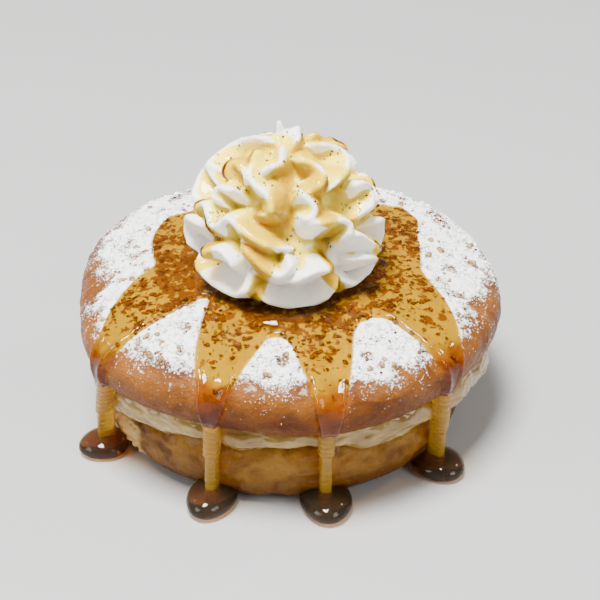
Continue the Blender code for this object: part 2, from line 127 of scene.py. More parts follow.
table_finish, shader, place = finish_of("table_top")
cloud = noise_of(place, 3.0, roughness=0.5)
fill(shader, {
    "Base Color": blend_of(cloud, (0.37, 0.365, 0.36), (0.40, 0.395, 0.39)),
    "Roughness": 0.7,
})
mesh = bmesh.new()
bmesh.ops.create_grid(mesh, x_segments=4, y_segments=4, size=4.0)
bmesh.ops.translate(mesh, verts=mesh.verts, vec=(0.0, 0.0, -0.0001))
table_top = smooth_object("table_top", mesh, table_finish)

# Each lamp: place, width, height and power
LAMPS = {
    "overhead": ((-0.14, -0.22, 1.00), 0.30, 0.30, 41.0),
    "left": ((-0.80, -0.45, 0.55), 0.45, 0.55, 5.0),
    "right": ((0.70, -0.60, 0.60), 0.45, 0.55, 5.0),
    "left_glint": ((-0.80, 0.38, 0.68), 0.12, 0.12, 3.0),
    "right_glint": ((0.80, 0.38, 0.68), 0.12, 0.12, 3.0),
}
for name, (spot, width, height, power) in LAMPS.items():
    lamp_data = bpy.data.lights.new(name, "AREA")
    lamp_data.shape = "RECTANGLE"
    lamp_data.size, lamp_data.size_y, lamp_data.energy = width, height, power
    lamp = stand(name, lamp_data)
    lamp.location = spot
    lamp.rotation_euler = (Vector((0.0, 0.0, 0.03)) - Vector(spot)).to_track_quat("-Z", "Y").to_euler()

world = bpy.data.worlds.new("room")
world.use_nodes = True
fill(world.node_tree.nodes["Background"], {"Color": (1.0, 0.97, 0.93), "Strength": 0.27})
bpy.context.scene.world = world


# The lower half of the bun
# A fried yeast bun is torn and cut across the middle. The lower half stands on its flat fried base, bulges a
# little at its side and is pressed down at the left and right by the custard on it.

BUN_RADIUS = 0.0500
BUN_WIDEST = 0.0308
CROWN_HEIGHT = 0.0418
UPPER_EDGE = 0.0455
UPPER_CUT = 0.0239
LOWER_RADIUS = 0.0427
LOWER_WIDEST = 0.0089
LOWER_CUT = 0.0150
BASE_RADIUS = 0.0339
GAP = 0.0003


def turn(azimuth):
    """The unit vector in plan at an azimuth in radians."""
    return Vector((math.cos(azimuth), math.sin(azimuth), 0.0))


def polar(azimuth, radius, height):
    """A place by its azimuth, its distance from the middle line and its height."""
    return turn(azimuth) * radius + Vector((0, 0, height))


def smooth_step(low, high, value):
    share = min(1.0, max(0.0, (value - low) / (high - low)))
    return share * share * (3.0 - 2.0 * share)


def band(rise, fall, value):
    """1 between a rise and a fall, each a range of the value, and 0 outside them."""
    return smooth_step(*rise, value) * (1.0 - smooth_step(*fall, value))


def lumps(azimuth, height, size, seed):
    """Unevenness from -1 to 1 round a turned shape, closed round its full turn."""
    spot = turn(azimuth) * (BUN_RADIUS / size)
    return noise.noise(Vector((spot.x + seed, spot.y, height / size)))


def bump(azimuth, middle, width):
    """A rounded bump from 0 to 1 centred on one azimuth; its middle and width are in degrees."""
    apart = (math.degrees(azimuth) - middle + 180.0) % 360.0 - 180.0
    return math.exp(-((apart / width) ** 2))


def lower_cut(azimuth, radius):
    """Height of the lower half's cut face, which dips near the rim where custard spills at the sides."""
    dip = 0.0012 - 0.0042 * bump(azimuth, 203.0, 26.0) - 0.0032 * bump(azimuth, 352.0, 38.0)
    dip += 0.0007 * math.sin(3.0 * azimuth + 0.6)
    return LOWER_CUT + dip * smooth_step(0.70, 0.97, radius / LOWER_RADIUS)


def lower_side(azimuth, share):
    """A point on the lower half's side: share runs from 0 at the base to 1 at the cut."""
    angle = math.radians(-90.0 + 150.0 * share)
    rounding = 0.75 if angle < 0.0 else 0.55
    radius = BASE_RADIUS + (LOWER_RADIUS - BASE_RADIUS) * max(math.cos(angle), 0.0) ** rounding
    if angle < 0.0:
        height = LOWER_WIDEST * (1.0 + math.sin(angle))
    else:
        top = lower_cut(azimuth, LOWER_RADIUS) - GAP / 2.0
        height = LOWER_WIDEST + (top - LOWER_WIDEST) * math.sin(angle) / math.sin(math.radians(60.0))
    swell = 0.0006 * lumps(azimuth, height, 0.011, 3.0) * math.sin(math.pi * share)
    out_of_round = 1.0 - 0.004 * math.cos(azimuth) + 0.006 * math.cos(2.0 * azimuth - 0.6)
    return polar(azimuth, (radius + swell) * out_of_round, height)


def laid_skin(stations, sides, skin, layers=()):
    """A grid wrapped round a skin: its columns go once round and its rows follow the stations. Also gives the
    azimuth and station of each place."""
    mesh = bmesh.new()
    for layer in layers:
        mesh.verts.layers.float.new(layer)
    bmesh.ops.create_grid(mesh, x_segments=sides, y_segments=len(stations) - 1, size=0.5)
    spots = {}
    for vert in mesh.verts:
        row = round((vert.co.y + 0.5) * (len(stations) - 1))
        spots[vert] = math.tau * round((vert.co.x + 0.5) * sides) / sides, stations[row]
    for vert, (azimuth, station) in spots.items():
        vert.co = skin(azimuth % math.tau, station)
    seam = [vert for vert in mesh.verts if vert.is_boundary]
    bmesh.ops.remove_doubles(mesh, verts=seam, dist=1e-7)
    bmesh.ops.recalc_face_normals(mesh, faces=mesh.faces)
    mesh.normal_update()
    return mesh, {vert: spots[vert] for vert in mesh.verts}


def piece_from(name, mesh, finish):
    """A piece that rides on the doughnut's one body."""
    made = smooth_object(name, mesh, finish)
    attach(made, "root")
    return made


def cut_face(azimuth, edge, share, cut, gap):
    """A place on a cut face, at a share of the way out to its edge; the face's own line gives its height."""
    inner = Vector((edge.x, edge.y, 0.0)) * share
    inner.z = cut(azimuth, inner.length) + gap
    return inner


def lower_skin(azimuth, station):
    """The lower half's skin: base from 0 to 1, side from 1 to 2, cut face inwards from 2 to 3."""
    if station < 1.0:
        return lower_side(azimuth, 0.0) * station
    if station < 2.0:
        return lower_side(azimuth, station - 1.0)
    return cut_face(azimuth, lower_side(azimuth, 1.0), 3.0 - station, lower_cut, -GAP / 2.0)


def wobble(spot, size, stretch=1.0):
    """Unevenness from -1 to 1 over places in millimetres, flattened by a stretch of their heights."""
    return noise.noise(Vector((spot.x, spot.y, spot.z * stretch)) / size)


stations = [step / 6 for step in range(6)] + [1.0 + step / 60 for step in range(61)]
stations += [2.0 + step / 10 for step in range(1, 11)]
mesh, spots = laid_skin(stations, 560, lower_skin, ["torn"])
tear_layer = mesh.verts.layers.float["torn"]
for vert, (azimuth, station) in spots.items():
    tear = bump(azimuth, 213.0, 7.0) * band((1.22, 1.34), (1.72, 1.86), station)
    spot = vert.co * 1000.0
    relief = 0.00034 * wobble(spot, 3.6, 1.6) + 0.00016 * wobble(spot, 1.3)
    relief -= 0.00040 * max(0.0, wobble(spot + Vector((40, 0, 0)), 5.0, 2.2) - 0.15)
    relief += tear * 0.0011 * (noise.turbulence(spot / 1.3, 3, False) - 0.5)
    vert.co += vert.normal * band((1.0, 1.12), (1.96, 2.04), station) * relief
    vert[tear_layer] = tear


def reckon(operation, *values):
    """One sum on two or three values or outputs."""
    near = next(value for value in values if isinstance(value, bpy.types.NodeSocket))
    return node(near, "ShaderNodeMath", dict(enumerate(values)), operation=operation).outputs[0]


def spread(value, low, high, to_low=0.0, to_high=1.0):
    """A value taken from one range to another and held there, with soft ends."""
    wanted = {"Value": value, "From Min": low, "From Max": high, "To Min": to_low, "To Max": to_high}
    return node(value, "ShaderNodeMapRange", wanted, interpolation_type="SMOOTHSTEP").outputs[0]


def mark_of(near, name):
    """A mask kept at the piece's own corners."""
    return node(near, "ShaderNodeAttribute", {}, attribute_name=name).outputs["Fac"]


def relief_of(height, strength, distance=0.0004, **under):
    """Fine relief in the light on a surface, over another relief where one is given."""
    wanted = {"Height": height, "Strength": strength, "Distance": distance, **under}
    return node(height, "ShaderNodeBump", wanted).outputs[0]


def wandering_height(place, scale, reach):
    """Height on the piece, shifted by up to a reach so that nothing made from it ends in a level line."""
    height = node(place, "ShaderNodeSeparateXYZ", {0: place}).outputs["Z"]
    return reckon("MULTIPLY_ADD", noise_of(place, scale), reach, height)


def group_of(name, inputs, outputs):
    """A node group with named sockets: itself, what it is given, and where its results are sent."""
    made = bpy.data.node_groups.new(name, "ShaderNodeTree")
    for side, sockets in (("INPUT", inputs), ("OUTPUT", outputs)):
        for label, kind in sockets.items():
            made.interface.new_socket(name=label, in_out=side, socket_type="NodeSocket" + kind)
    return made, made.nodes.new("NodeGroupInput").outputs, made.nodes.new("NodeGroupOutput")


# Fried skin: blotches of browning, fine pores and a slightly greasy shine
fried_skin, given, sent = group_of(
    "fried_skin",
    dict(Vector="Vector", Pale="Color", Brown="Color", Dark="Color", Blotch="Float", Pore="Float"),
    {"Colour": "Color", "Roughness": "Float", "Height": "Float"},
)
place = given["Vector"]
blotch = noise_of(place, given["Blotch"], 5.0, 0.6, 0.6)
pores = noise_of(place, given["Pore"], 5.0, 0.62)
browned = blend_of(spread(blotch, 0.36, 0.62), given["Pale"], given["Brown"])
browned = blend_of(spread(blotch, 0.52, 0.72, 0.0, 0.75), browned, given["Dark"])
wrinkles = noise_of(place, 330.0, 3.0, 0.5, 1.2)
fill(sent, {
    "Colour": blend_of(spread(pores, 0.56, 0.70, 0.0, 0.30), browned, given["Dark"]),
    "Roughness": spread(pores, 0.3, 0.7, 0.24, 0.42),
    "Height": reckon("MULTIPLY_ADD", wrinkles, 1.1, reckon("MULTIPLY", pores, 0.55)),
})


def skin_on(place, up, pale, brown, dark, blotch, pore):
    """The fried skin on a piece. Pale and brown are two colours each, for its lowest and highest places."""
    pale, brown = blend_of(up, *pale), blend_of(up, *brown)
    wanted = {"Vector": place, "Pale": pale, "Brown": brown, "Dark": dark, "Blotch": blotch, "Pore": pore}
    return node(place, "ShaderNodeGroup", wanted, node_tree=fried_skin).outputs


dough_finish, shader, place = finish_of("fried_dough")
# Painted shade: the skin's colours are darker low down towards the base and lighter higher up the side, by
# height
up = spread(wandering_height(place, 110.0, 0.005), 0.0055, 0.0150)
pale, brown = ((0.125, 0.047, 0.003), (0.270, 0.130, 0.020)), ((0.080, 0.025, 0.0012), (0.165, 0.066, 0.007))
skin = skin_on(place, up, pale, brown, (0.055, 0.017, 0.0012), 120.0, 900.0)
crumb = spread(mark_of(place, "torn"), 0.15, 0.6)
fill(shader, {
    "Base Color": blend_of(crumb, skin["Colour"], (0.50, 0.32, 0.12)),
    "Roughness": skin["Roughness"],
    "Normal": relief_of(skin["Height"], 0.7),
    "Coat Weight": 0.11,
    "Coat Roughness": 0.12,
    "Specular IOR Level": 0.06,
})

lower_half = piece_from("lower_half", mesh, dough_finish)
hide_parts("bottom_bun")


# The custard
# A thick cooked custard is spooned on the lower half and squeezed by the upper: flush at the front, spilling
# at the left, and pressed out with a ragged edge at the right.


def upper_cut(azimuth, radius):
    """Height of the upper half's cut face, slightly wavy at the rim."""
    wave = 0.0004 * math.sin(2.0 * azimuth + 1.1) + 0.0003 * math.sin(5.0 * azimuth)
    return UPPER_CUT + wave * smooth_step(0.70, 0.97, radius / BUN_RADIUS)


def custard_hang(azimuth):
    """How far down the lower half's side the custard hangs, as a share of that side."""
    hang = 0.01 + 0.05 * max(0.0, lumps(azimuth, 0.0, 0.007, 31.0) + 0.15)
    hang += 0.10 * bump(azimuth, 232.0, 7.0) + 0.11 * bump(azimuth, 257.0, 6.0)
    return hang + 0.17 * bump(azimuth, 299.0, 11.0) + 0.08 * bump(azimuth, 325.0, 8.0)


def custard_side(azimuth, share):
    """A point on the custard's bulging edge: share runs from 0 at its lower edge to 1 at the upper cut."""
    reach = 0.0436 + 0.0022 * bump(azimuth, 207.0, 22.0)
    ragged = abs(math.sin(9.5 * azimuth + 0.8)) - 0.5
    reach += bump(azimuth, 352.0, 34.0) * (0.0036 + 0.0010 * ragged)
    low = lower_side(azimuth, 1.0 - custard_hang(azimuth))
    high = upper_cut(azimuth, BUN_RADIUS) - GAP / 2.0
    height = low.z + GAP + (high - low.z - GAP) * share
    bulge = 0.0020 * (math.sin(math.pi * (0.12 + 0.80 * share)) - 0.6)
    fold = 0.0010 * lumps(azimuth, height, 0.006, 11.0) * math.sin(math.pi * share)
    near = low.xy.length + GAP
    radius = near + (reach + bulge + fold - near) * math.sin(0.5 * math.pi * min(1.0, share / 0.32)) ** 0.6
    return polar(azimuth, radius, height)


def custard_skin(azimuth, station):
    """The custard's skin: underside to 0.8, down the lower half's side to 1, edge to 2, top inwards to 3."""
    if station < 0.8:
        radius = (lower_side(azimuth, 1.0).xy.length + GAP) * station / 0.8
        return polar(azimuth, radius, lower_cut(azimuth, radius) + GAP / 2.0)
    if station < 1.0:
        side = lower_side(azimuth, 1.0 - custard_hang(azimuth) * (station - 0.8) / 0.2)
        return side + turn(azimuth) * GAP + Vector((0, 0, GAP))
    if station <= 2.0:
        return custard_side(azimuth, station - 1.0)
    radius = custard_side(azimuth, 1.0).xy.length * (3.0 - station)
    return polar(azimuth, radius, upper_cut(azimuth, radius) - GAP / 2.0)


stations = [0.0, 0.2, 0.4, 0.6, 0.7, 0.8, 0.85, 0.9, 0.95]
stations += [1.0 + step / 44 for step in range(45)] + [2.0 + step / 8 for step in range(1, 9)]
mesh, spots = laid_skin(stations, 520, custard_skin)
for vert, (azimuth, station) in spots.items():
    spot = vert.co * 1000.0
    relief = 0.00042 * wobble(spot, 4.0, 2.5) + 0.00020 * wobble(spot, 1.3, 1.8)
    vert.co += vert.normal * band((1.0, 1.2), (1.8, 2.0), station) * relief

custard_finish, shader, place = finish_of("custard")
cloud = spread(noise_of(place, 130.0), 0.35, 0.68)
fill(shader, {
    "Base Color": blend_of(cloud, (0.235, 0.135, 0.022), (0.38, 0.25, 0.060)),
    "Roughness": spread(noise_of(place, 700.0), 0.3, 0.7, 0.14, 0.28),
    "Normal": relief_of(noise_of(place, 420.0), 0.25),
    "Coat Weight": 0.35,
    "Coat Roughness": 0.08,
    "Subsurface Weight": 0.25,
    "Subsurface Radius": (1.0, 0.6, 0.25),
    "Subsurface Scale": 0.0015,
})

custard_layer = piece_from("custard_layer", mesh, custard_finish)
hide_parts("custard")


# The upper half of the bun and its sugar
# The upper half is a low dome of orange-brown fried crust. Sugar is sieved over it while it is dry, and lies
# in small clumps down to just above the widest part, where it thins out to bare crust. Syrup wets it later.


def crust_profile():
    """The crust's line from the crown's middle to its lower edge: distance along it, radius and height."""
    line = [(0.0, 0.0, CROWN_HEIGHT)]
    for step in range(1, 121):
        angle = math.radians(90.0 * (1.0 - step / 80.0))
        if angle >= 0.0:
            radius = BUN_RADIUS * math.cos(angle) ** 0.745
            height = BUN_WIDEST + (CROWN_HEIGHT - BUN_WIDEST) * math.sin(angle) ** 0.8575
        else:
            share = max(math.cos(2.0 * angle), 0.0)
            radius = UPPER_EDGE + (BUN_RADIUS - UPPER_EDGE) * share ** 0.8
            height = BUN_WIDEST + (BUN_WIDEST - UPPER_CUT) * math.sin(2.0 * angle)
        distance, near, low = line[-1]
        line.append((distance + math.hypot(radius - near, height - low), radius, height))
    return line


CRUST = crust_profile()
CRUST_LENGTH = CRUST[-1][0]
# Waves in the crust's outline, as shares of its radius: once round, twice round and so on
OUT_OF_ROUND = (0.013, -0.012, 0.004, -0.014, 0.012)


def rows_beside(table, position):
    """The rows of a table on both sides of a position in its first column, and how far it is between them."""
    after = min(max(bisect_right(table, position, key=lambda row: row[0]), 1), len(table) - 1)
    (start, *near), (end, *far) = table[after - 1], table[after]
    return near, far, min(max((position - start) / (end - start), 0.0), 1.0)


def from_table(table, position):
    """What a table says at a position in its first column, straight between its rows."""
    near, far, share = rows_beside(table, position)
    return [first + (second - first) * share for first, second in zip(near, far)]


def crust_point(azimuth, distance):
    """A point on the upper half's crust, at a distance along it from the crown's middle."""
    radius, height = from_table(CRUST, distance)
    along = distance / CRUST_LENGTH
    low = smooth_step(0.8, 1.0, along)
    height += (upper_cut(azimuth, BUN_RADIUS) - UPPER_CUT + GAP / 2.0) * low
    height += 0.0005 * lumps(azimuth, height, 0.016, 7.0) * smooth_step(0.5, 0.7, along) * (1.0 - low)
    out_of_round = sum(size * math.cos(turns * azimuth) for turns, size in enumerate(OUT_OF_ROUND, 1))
    out_of_round -= 0.007 * math.sin(6.0 * azimuth)
    return polar(azimuth, radius * (1.0 + out_of_round * smooth_step(0.0, 0.6, along)), height)


def upper_skin(azimuth, station):
    """The upper half's skin, in millimetres along the crust and then inwards over the cut face."""
    if station / 1000.0 <= CRUST_LENGTH:
        return crust_point(azimuth, station / 1000.0)
    share = 1.0 - (station - CRUST_LENGTH * 1000.0) / 10.0
    return cut_face(azimuth, crust_point(azimuth, CRUST_LENGTH), share, upper_cut, GAP / 2.0)


# Where syrup will run over the sugar: millimetres along the crust, and azimuths of the run's two edges
ARMS = {
    "run_left": (
        (27, 188, 228), (34, 194, 226), (41, 204, 224),
        (48, 213.5, 223), (53, 215, 221.5), (58, 215.5, 220.5),
    ),
    "run_front_left": ((28, 234, 268), (36, 240, 264), (43, 244, 260), (50, 248, 257), (58, 249, 254.2)),
    "run_front_right": (
        (30, 269, 300), (38, 273.5, 293), (46, 276.5, 288), (51, 277.5, 285.5), (58, 278.8, 284),
    ),
    "run_right": ((28, 304, 352), (36, 310.5, 339), (43, 312, 330.5), (50, 312.5, 322.5), (58, 313.7, 318.9)),
    "lobe_back_right": ((25, -16, 44), (30.5, -8, 44), (33, 17, 44), (36.5, 28, 40)),
    "lobe_back_left": ((25, 142, 200), (30.5, 143, 194), (33, 147, 166)),
}
POOL_EDGE = (
    (0, 31.5), (28, 30), (46, 32.5), (66, 31.5), (95, 30), (122, 29.5), (146, 30), (162, 31), (180, 31.5),
    (208, 31), (230, 25.8), (248, 32), (268, 34.6), (285, 35), (302, 32.8), (320, 33), (340, 32), (360, 31.5),
)


def softer_max(first, second, size):
    """The larger of two values, rounded off where they are alike."""
    near = max(size - abs(first - second), 0.0) / size
    return max(first, second) + near * near * size / 4.0


def inside_syrup(azimuth, station):
    """Millimetres inside the syrup's edge at a place on the crust, and below 0 outside it."""
    degrees = math.degrees(azimuth) % 360.0
    (near,), (far,), share = rows_beside(POOL_EDGE, degrees)
    depth = near + (far - near) * smooth_step(0.0, 1.0, share) - station
    radius = from_table(CRUST, station / 1000.0)[0] * 1000.0
    for places in ARMS.values():
        if station < places[0][0] - 3.0:
            continue
        left, right = from_table(places, station)
        apart = (degrees - (left + right) / 2.0 + 180.0) % 360.0 - 180.0
        within = math.radians((right - left) / 2.0 - abs(apart)) * radius
        to_end = places[-1][0] - station
        if places[-1][0] < 57.0 and to_end < 4.0:
            within = min(within, to_end)
        depth = softer_max(depth, within, 2.5)
    return depth


# Where the cream will stand
CREAM_MIDDLE = (0.0002, -0.0090)


def sugar_on(azimuth, station, spot):
    """How thick the sugar lies, from 0 on bare crust to 1. Spot is the place in millimetres."""
    edge = 49.2 - 3.4 * bump(azimuth, 187.0, 9.0) - 1.5 * bump(azimuth, 343.0, 8.0)
    edge += 1.2 * bump(azimuth, 300.0, 9.0)
    edge += 3.2 * bump(azimuth, 12.0, 18.0) + 1.6 * bump(azimuth, 48.0, 20.0)
    edge += 2.6 * wobble(spot, 6.0) + 1.4 * wobble(spot, 2.2)
    thick = 1.0 - smooth_step(edge - 5.0, edge + 0.4, station)
    cover = 0.72 * thick + 0.28 - 0.28 * smooth_step(edge - 0.4, edge + 5.0, station)
    bare = smooth_step(0.24, 0.42, noise.noise(spot / 4.5 + Vector((20, 0, 0))))
    return cover * (1.0 - 0.42 * bare) * (0.95 + 0.22 * wobble(spot, 1.6))


stations = [0.0, 4.0, 8.0, 12.0, 15.0, 17.0, 18.5, 19.5]
stations += [20.0 + 0.4 * step for step in range(74)]
stations += [49.8 + 0.55 * step for step in range(25)]
stations = [station for station in stations if station < CRUST_LENGTH * 1000.0 - 0.2]
stations += [CRUST_LENGTH * 1000.0 + step for step in (0.0, 0.4, 0.8, 1.6, 3.0, 6.0, 10.0)]
mesh, spots = laid_skin(stations, 800, upper_skin, ["sugar", "wet", "spice"])
sugar_layer, wet_layer, spice_layer = mesh.verts.layers.float.values()
for vert, (azimuth, station) in spots.items():
    if station > CRUST_LENGTH * 1000.0:
        continue
    spot = vert.co * 1000.0
    wet = float(station < 30.0)
    if 18.0 < station < 59.0:
        wet = smooth_step(-0.3, 0.5, inside_syrup(azimuth, station))
    sugar = sugar_on(azimuth, station, spot) if station < 54.0 else 0.0
    clumps = 0.5 + 0.6 * wobble(spot, 1.3) + 0.5 * wobble(spot, 0.65)
    relief = 0.00056 * smooth_step(0.35, 0.9, sugar) * clumps * (1.0 - 0.8 * wet)
    dimple = band((44.0, 52.0), (60.0, 63.0), station)
    relief += dimple * (0.00030 * wobble(spot, 2.8) + 0.00013 * wobble(spot, 1.0))
    vert.co += vert.normal * relief
    near = 1.0 - smooth_step(27.0, 46.0, station)
    dense = 0.60 + 0.45 * bump(azimuth, 200.0, 26.0)
    by_cream = 1.0 - smooth_step(20.5, 26.0, math.dist(vert.co.xy, CREAM_MIDDLE) * 1000.0)
    vert[sugar_layer], vert[wet_layer] = sugar, wet
    vert[spice_layer] = 0.24 + dense * near + 0.40 * by_cream + 0.60 * wobble(spot, 4.0)

# Sieved sugar: speckled where it lies thin, with pinholes where it lies thick
sieved, given, sent = group_of(
    "sieved_sugar", {"Vector": "Vector", "Cover": "Float"}, {"Mask": "Float", "Height": "Float"}
)
clumps, grains, powder = [noise_of(given["Vector"], scale, 2.0, 0.5) for scale in (480.0, 1500.0, 3600.0)]
uneven = reckon("MULTIPLY_ADD", clumps, 0.9, reckon("MULTIPLY_ADD", grains, 1.2, powder))
level = reckon("MULTIPLY_ADD", given["Cover"], 0.84, reckon("SUBTRACT", uneven, 1.55))
heap = reckon("MULTIPLY_ADD", grains, 0.6, reckon("MULTIPLY", powder, 0.5))
fill(sent, {
    "Mask": spread(level, 0.40, 0.58),
    "Height": reckon("MULTIPLY_ADD", spread(level, 0.35, 0.75), 0.8, heap),
})

crust_finish, shader, place = finish_of("sugared_crust")
wander = wandering_height(place, 90.0, 0.006)
pale, brown = ((0.150, 0.042, 0.002), (0.205, 0.072, 0.011)), ((0.100, 0.023, 0.001), (0.140, 0.042, 0.005))
skin = skin_on(place, spread(wander, 0.0275, 0.0385), pale, brown, (0.060, 0.012, 0.0007), 110.0, 800.0)
cover, wet, spice = [mark_of(place, name) for name in ("sugar", "wet", "spice")]
sugar = node(place, "ShaderNodeGroup", {"Vector": place, "Cover": cover}, node_tree=sieved).outputs
dust = spread(noise_of(place, 1250.0, 1.0), 0.635, 0.70, 0.0, 0.75)
white = blend_of(dust, (0.95, 0.95, 0.935), (0.20, 0.125, 0.07))
rough = {0: sugar["Mask"], 2: skin["Roughness"], 3: 0.92}
bare = reckon("SUBTRACT", 1.0, sugar["Mask"])
fill(shader, {
    "Base Color": blend_of(sugar["Mask"], skin["Colour"], white),
    "Roughness": node(place, "ShaderNodeMix", rough, data_type="FLOAT").outputs[0],
    "Normal": relief_of(sugar["Height"], 0.9, Normal=relief_of(skin["Height"], 0.7)),
    "Coat Weight": reckon("MULTIPLY", bare, spread(wander, 0.0275, 0.0385, 0.02, 0.13)),
    "Coat Roughness": 0.10,
    "Specular IOR Level": 0.09,
})

# Under the syrup the sugar has melted to gold, the crust is darker and ground cinnamon has bled into both
blots = reckon("MULTIPLY_ADD", spice, 0.20, noise_of(place, 560.0, 2.0, 0.5, 0.5))
blots = spread(blots, 0.655, 0.72, 0.0, 0.92)
gold = blend_of(noise_of(place, 150.0, 2.0), (0.155, 0.095, 0.0006), (0.245, 0.160, 0.001))
soaked = {0: 1.0, 6: skin["Colour"], 7: (0.64, 0.52, 0.30)}
soaked = node(place, "ShaderNodeMix", soaked, data_type="RGBA", blend_type="MULTIPLY").outputs[2]
wet_colour = blend_of(spread(cover, 0.08, 0.72), soaked, gold)
wet_shader = node(place, "ShaderNodeBsdfPrincipled", {
    "Base Color": blend_of(blots, wet_colour, (0.066, 0.018, 0.0015)),
    "Roughness": 0.7,
    "Specular IOR Level": 0.0,
})
both = node(place, "ShaderNodeMixShader", {0: wet, 1: shader.outputs[0], 2: wet_shader.outputs[0]})
fill(crust_finish.node_tree.nodes["Material Output"], {"Surface": both.outputs[0]})

upper_half = piece_from("upper_half", mesh, crust_finish)
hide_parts("top_bun")


# Loose grains of sugar
# Clumps of powder lie on the sieved sugar and single grains have rolled down on to the bare crust below it.


def crust_frame(azimuth, distance):
    """A point on the crust, and the outward normal there."""
    along = crust_point(azimuth, distance + 0.0012) - crust_point(azimuth, distance - 0.0012)
    across = crust_point(azimuth + 0.02, distance) - crust_point(azimuth - 0.02, distance)
    return crust_point(azimuth, distance), along.cross(across).normalized()


def crumbs(seed, number, stretch=(1.0, 1.0, 1.0)):
    """Irregular crumb shapes about 1 across, as arrays of corners and faces."""
    shapes = []
    for item in range(number):
        mesh = bmesh.new()
        bmesh.ops.create_icosphere(mesh, subdivisions=1, radius=0.5)
        for vert in mesh.verts:
            vert.co *= 1.0 + 0.45 * noise.noise(vert.co * 2.3 + Vector((seed, 7.0 * item, 0.0)))
            vert.co *= Vector(stretch)
        mesh.verts.index_update()
        corners = np.array([vert.co[:] for vert in mesh.verts])
        shapes.append((corners, np.array([[vert.index for vert in face.verts] for face in mesh.faces])))
        mesh.free()
    return shapes


def scattered(name, shapes, spots, finish):
    """One joined mesh of small shapes: each spot is a place, a turn and a size."""
    corners, faces, count = [], [], 0
    for number, (spot, angles, size) in enumerate(spots):
        shape, sides = shapes[number % len(shapes)]
        turned = np.array(Euler(angles).to_matrix())
        corners.append(shape @ turned.T * size + np.array(spot))
        faces.append(sides + count)
        count += len(shape)
    data = bpy.data.meshes.new(name)
    data.from_pydata(np.concatenate(corners).tolist(), [], np.concatenate(faces).tolist())
    return piece_from(name, data, finish)


def any_turn(dice):
    """Three angles drawn by dice."""
    return [dice.uniform(0.0, math.tau) for _ in range(3)]


dice = random.Random(41)
spots = []
while len(spots) < 6500:
    azimuth, station = dice.uniform(0.0, math.tau), 20.0 + 36.0 * math.sqrt(dice.random())
    if inside_syrup(azimuth, station) > -0.4:
        continue
    place, normal = crust_frame(azimuth, station / 1000.0)
    sugar = sugar_on(azimuth, station, place * 1000.0)
    if dice.random() > smooth_step(0.05, 0.75, sugar) + 0.04:
        continue
    size = 0.00015 + 0.00034 * dice.random() ** 2.0 * smooth_step(0.1, 0.6, sugar)
    if sugar > 0.8 and dice.random() < 0.05:
        size = dice.uniform(0.0007, 0.0016)
    lift = 0.00008 + 0.00022 * smooth_step(0.35, 0.9, sugar)
    spots.append((place + normal * lift, any_turn(dice), size))

grain_finish, shader, place = finish_of("sugar_grain")
cloud = noise_of(place, 900.0)
fill(shader, {
    "Base Color": blend_of(cloud, (0.90, 0.90, 0.87), (0.96, 0.96, 0.95)),
    "Roughness": spread(cloud, 0.3, 0.7, 0.80, 0.95),
})
scattered("sugar_grains", crumbs(3.0, 5), spots, grain_finish)


# Crumbs of crust
# A few pale crumbs of the crust have fallen on the sugar and sit half sunk in it.

dice = random.Random(5)
spots = []
while len(spots) < 60:
    azimuth, station = dice.uniform(0.0, math.tau), dice.uniform(24.0, 47.0)
    place, normal = crust_frame(azimuth, station / 1000.0)
    if inside_syrup(azimuth, station) > -1.2 or noise.noise(place * 1000.0 / 7.0) < -0.05:
        continue
    spots.append((place + normal * 0.0003, any_turn(dice), dice.uniform(0.0007, 0.0021)))


def crumbly_finish(name, scale, detail, first, second, roughness, specular):
    """A dry finish, mottled between two browns."""
    made, shader, place = finish_of(name)
    cloud = spread(noise_of(place, scale, detail), 0.35, 0.65)
    colour = blend_of(cloud, first, second)
    fill(shader, {"Base Color": colour, "Roughness": roughness, "Specular IOR Level": specular})
    return made


browned = crumbly_finish("crust_crumb", 1500.0, 3.0, (0.17, 0.085, 0.03), (0.46, 0.33, 0.19), 0.85, 0.1)
scattered("crust_crumbs", crumbs(21.0, 7, (1.1, 0.9, 0.8)), spots, browned)


# The maple syrup
# Syrup is poured round the foot of the cream. It stands in a pool there, runs down the front in four streams
# with a fat rounded edge, hangs in threads over the custard and settles in a bead at each thread's foot.

# Each thread: azimuth and radius at its top and at its foot, the heights between which it is still coiling
# down on itself and so fatter, and its bead's half width, half length and height
THREADS = {
    "run_left": ((218.0, 0.0508, 206.0, 0.0478), (0.0125, 0.0260), (0.0054, 0.0059, 0.0048)),
    "run_front_left": ((251.6, 0.0490, 248.6, 0.0452), (0.0145, 0.0255), (0.0055, 0.0069, 0.0052)),
    "run_front_right": ((281.4, 0.0494, 282.7, 0.0442), (0.0160, 0.0225), (0.0058, 0.0074, 0.0052)),
    "run_right": ((316.3, 0.0500, 321.5, 0.0464), (0.0120, 0.0245), (0.0057, 0.0065, 0.0048)),
}
# Each stream turns to a cloudier thread at this height, where it leaves the crust's edge
THREAD_TOP = 0.0252


def syrup_rise(depth):
    """The syrup's height over the crust by its distance inside the edge, both in millimetres."""
    if depth <= 0.0:
        return -0.25 + 1.1 * depth
    lip = 1.50 * (1.0 - math.exp(-((depth / 0.60) ** 1.3)))
    return lip - 0.68 * smooth_step(0.9, 2.0, depth)


def add_loft(mesh, rings):
    """Adds a closed loft: circles moved to rings of points and bridged in turn, with both ends capped."""
    made, before = bmesh.new(), []
    for number, ring in enumerate(rings):
        capped = number in (0, len(rings) - 1)
        circle = bmesh.ops.create_circle(made, cap_ends=capped, radius=1.0, segments=len(ring))["verts"]
        for vert, point in zip(circle, ring):
            vert.co = point
        edges = list({edge for vert in circle for edge in vert.link_edges})
        if before:
            bmesh.ops.bridge_loops(made, edges=before + edges)
        before = edges
    data = data_of("loft", made)
    mesh.from_mesh(data)
    bpy.data.meshes.remove(data)


